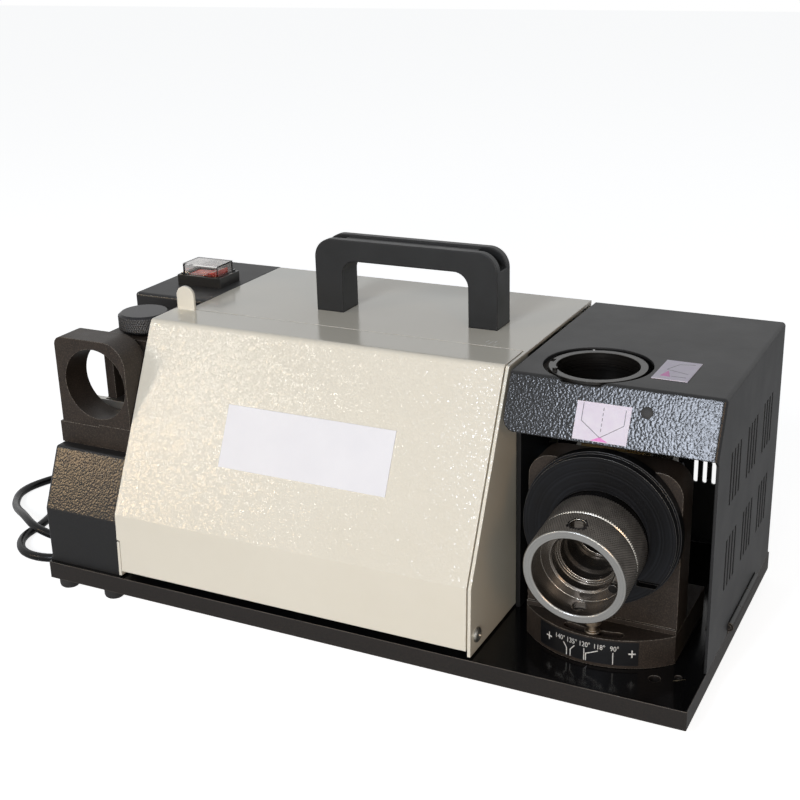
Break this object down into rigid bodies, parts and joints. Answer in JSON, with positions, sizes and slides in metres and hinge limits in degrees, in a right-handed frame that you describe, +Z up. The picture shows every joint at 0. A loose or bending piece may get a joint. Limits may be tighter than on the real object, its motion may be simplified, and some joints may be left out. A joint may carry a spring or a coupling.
{
  "type": "drill bit sharpener",
  "caption": "Bench drill bit sharpener: motor housing with a grinding wheel under a hinged cover, swivelling chuck port, top thinning port, drill setter, carrying handle and mains lead.",
  "frame": {"origin": "middle of the base plate, on the surface that the rubber feet stand on", "axes": "+Z up, +X to the operator's right, the operator stands at -Y"},
  "size_m": [0.5846, 0.3199, 0.2356],
  "materials": {
    "black_gloss_steel": "gloss black paint",
    "cream_paint": "fine textured cream powder coat",
    "black_wrinkle_paint": "black wrinkle powder coat",
    "phosphated_steel": "oiled black phosphate on machined steel",
    "blued_steel": "blued, turned face",
    "knurled_steel": "dark knurled steel",
    "ground_steel": "ground bright",
    "lamination_steel": "punched sheet",
    "zinc_screw": "zinc plated",
    "black_hinge": "black enamel",
    "black_screw": "black oxide",
    "black_knurled_knob": "black anodised, knurled",
    "cast_aluminium": "die cast",
    "motor_paint": "grey enamel",
    "capacitor_can": "drawn can",
    "wheel_grit": "coated abrasive on the wheel",
    "black_nylon": "moulded, fine grain",
    "black_plastic": "moulded",
    "grey_plastic": "moulded",
    "red_plastic": "moulded",
    "clear_cap": "clear soft plastic",
    "rubber": "moulded rubber",
    "cord_sheath": "glossy black cord sheath",
    "sticker": "printed film",
    "label_plate": "bare satin plate",
    "scale_strip": "black strip with white figures"
  },
  "bodies": {
    "root": {"base_plate": "black_gloss_steel", "rubber_feet": "rubber", "base_screws": "zinc_screw", "motor_housing": "cream_paint", "door_pivot_screws": "zinc_screw", "carry_handle": "black_nylon", "handle_screws": "zinc_screw", "partition_wall": "black_wrinkle_paint", "top_port_arm": "phosphated_steel", "top_port_bushing": "phosphated_steel", "hinge_leaf_fixed": "black_hinge", "hinge_pin": "black_hinge", "swivel_pin": "ground_steel", "motor_shell": "motor_paint", "stator_core": "lamination_steel", "motor_end_bells": "cast_aluminium", "motor_bearings": "ground_steel", "fan_cowl": "motor_paint", "motor_cradle": "black_gloss_steel", "setter_housing": "black_wrinkle_paint", "setter_foot_block": "phosphated_steel", "setter_ring_block": "phosphated_steel", "setter_column": "phosphated_steel", "setter_bolts": "zinc_screw", "switch_housing": "black_wrinkle_paint", "switch_bezel": "black_plastic", "switch_cap": "clear_cap", "capacitor": "capacitor_can", "terminal_block": "grey_plastic", "cable_gland": "black_nylon", "strain_relief": "rubber", "cord_coil": "cord_sheath", "mains_cord": "cord_sheath", "cord_tail": "cord_sheath", "mains_plug": "black_plastic"},
    "door": {"front_door": "cream_paint", "door_label": "label_plate"},
    "cover": {"wheel_cover": "black_wrinkle_paint", "hinge_leaf_moving": "black_hinge", "cover_stickers": "sticker"},
    "swivel": {"swivel_base": "phosphated_steel", "angle_scale": "scale_strip", "swivel_block": "phosphated_steel", "guide_disc": "blued_steel", "port_liner": "ground_steel"},
    "lock_screw": {"swivel_lock_screw": "black_screw"},
    "feed_ring": {"feed_ring": "knurled_steel"},
    "chuck": {"chuck_sleeve": "knurled_steel", "chuck_grip": "knurled_steel", "collet": "ground_steel", "collet_nut": "ground_steel", "chuck_key_screw": "black_screw"},
    "rotor": {"rotor_shaft": "lamination_steel", "wheel_hub": "ground_steel", "grinding_wheel": "wheel_grit", "wheel_nut": "zinc_screw", "motor_fan": "grey_plastic"},
    "setter_knob": {"setter_knob": "black_knurled_knob"},
    "setter_stop": {"setter_stop": "ground_steel"},
    "rocker": {"switch_rocker": "red_plastic"}
  },
  "joints": [
    {"name": "door_open", "type": "hinge", "parent": "root", "child": "door", "pos_m": [-0.0351, -0.0953, 0.0325], "axis": [1, 0, 0], "range_deg": [0, 95]},
    {"name": "cover_open", "type": "hinge", "parent": "root", "child": "cover", "pos_m": [0.2254, 0.0225, 0.0246], "axis": [0, 1, 0], "range_deg": [0, 95]},
    {"name": "swivel_turn", "type": "hinge", "parent": "root", "child": "swivel", "pos_m": [0.1595, -0.019, 0.0205], "axis": [0, 0, 1], "range_deg": [-15, 11]},
    {"name": "lock_screw_turn", "type": "hinge", "parent": "root", "child": "lock_screw", "pos_m": [0.1595, -0.075, 0.0391], "axis": [0, 0, 1], "range_deg": [0, 180]},
    {"name": "feed_ring_turn", "type": "hinge", "parent": "swivel", "child": "feed_ring", "pos_m": [0.1595, -0.07, 0.0969], "axis": [0, -0.9925, -0.1219], "range_deg": [0, 350]},
    {"name": "chuck_turn", "type": "hinge", "parent": "swivel", "child": "chuck", "pos_m": [0.1595, -0.07, 0.0969], "axis": [0, -0.9925, -0.1219], "continuous": true},
    {"name": "rotor_spin", "type": "hinge", "parent": "root", "child": "rotor", "pos_m": [0, 0.0254, 0.103], "axis": [1, 0, 0], "continuous": true},
    {"name": "knob_turn", "type": "hinge", "parent": "root", "child": "setter_knob", "pos_m": [-0.183, -0.028, 0.1718], "axis": [0, 0, 1], "range_deg": [-720, 720]},
    {"name": "stop_slide", "type": "slide", "parent": "root", "child": "setter_stop", "axis": [0, 0, 1], "range_m": [-0.003, 0.003]},
    {"name": "rocker_press", "type": "hinge", "parent": "root", "child": "rocker", "pos_m": [-0.1807, 0.048, 0.1916], "axis": [0, 1, 0], "range_deg": [0, 18]}
  ],
  "couplings": [
    {"joint": "stop_slide", "follows": "knob_turn", "m_per_rad": 0.000239}
  ]
}
